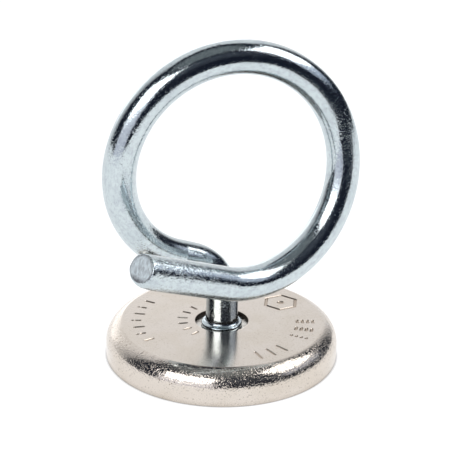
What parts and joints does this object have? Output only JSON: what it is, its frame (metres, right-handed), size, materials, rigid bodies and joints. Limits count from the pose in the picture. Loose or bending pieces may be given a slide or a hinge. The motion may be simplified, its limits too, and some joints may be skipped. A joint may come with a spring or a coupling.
{
  "type": "magnet fishing magnet",
  "caption": "Round pot magnet with a coiled open lifting ring of round bar that swivels on a collar in the pot's top.",
  "frame": {"origin": "centre of the working face, where the pot's rim lies on the iron it holds", "axes": "+Z from the working face along the ring's shank; the ring stands along X, and its free end is on the -Y side"},
  "size_m": [0.0731, 0.0686, 0.0971],
  "materials": {
    "bright_zinc": "bright zinc plate over drawn bar",
    "nickel_plate": "satin nickel plate over drawn sheet steel",
    "mild_steel": "turned, lightly oiled",
    "ferrite": "ground sintered ferrite",
    "potting_epoxy": "cast epoxy",
    "adhesive": "cured film",
    "zinc_nut": "zinc plate",
    "nylon": "moulded"
  },
  "bodies": {
    "pot": {"pot_shell": "nickel_plate", "backing_plate": "mild_steel", "bond_layer": "adhesive", "ring_magnet": "ferrite", "potting_ring": "potting_epoxy"},
    "ring": {"ring_bar": "bright_zinc", "thrust_washer": "mild_steel", "lock_nut": "zinc_nut", "nylon_insert": "nylon"}
  },
  "joints": [
    {"name": "ring_swivel", "type": "hinge", "parent": "pot", "child": "ring", "pos_m": [0, 0, 0.0078], "axis": [0, 0, 1], "continuous": true}
  ]
}
